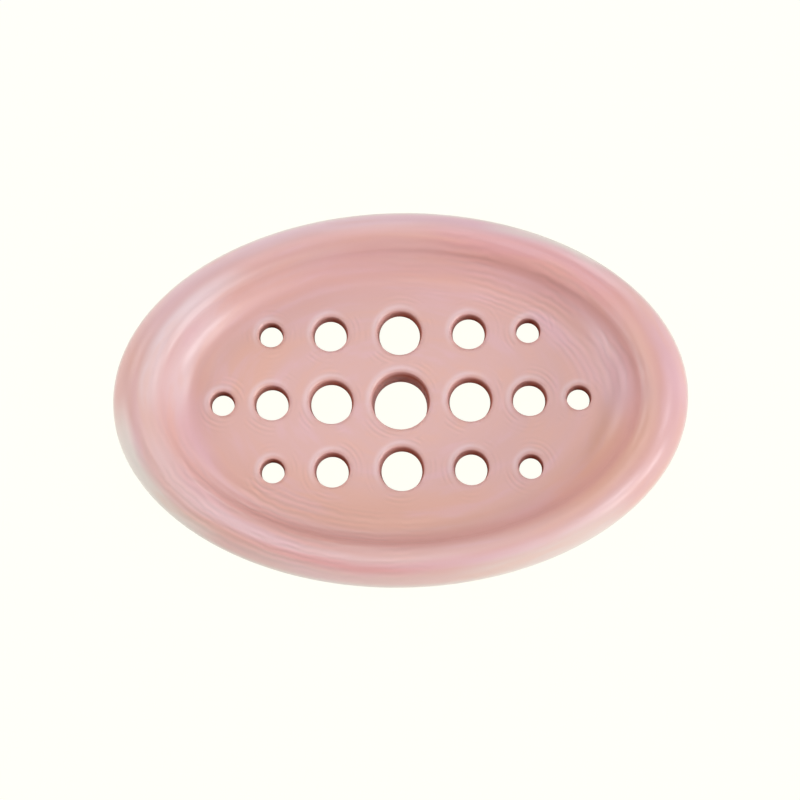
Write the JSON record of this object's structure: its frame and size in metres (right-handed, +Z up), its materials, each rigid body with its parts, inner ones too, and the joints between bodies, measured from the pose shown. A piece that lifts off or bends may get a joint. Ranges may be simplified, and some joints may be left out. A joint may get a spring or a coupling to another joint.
{
  "type": "soap dish",
  "caption": "Oval soap dish with a wide rolled rim, a shallow recess and a flat floor with round drain holes, on soft push-in feet.",
  "frame": {"origin": "on the counter under the middle of the dish, at the middle of the bottom of its box", "axes": "+X along the length of the dish, +Y from front to back, +Z up out of the soap recess"},
  "size_m": [0.114, 0.075, 0.02],
  "materials": {
    "dish": "satin pearl pink, smooth with faint tool marks",
    "foot": "matte translucent silicone"
  },
  "bodies": {
    "root": {"dish_body": "dish", "foot_front_left": "foot", "foot_front_right": "foot", "foot_back_left": "foot", "foot_back_right": "foot"}
  },
  "joints": []
}
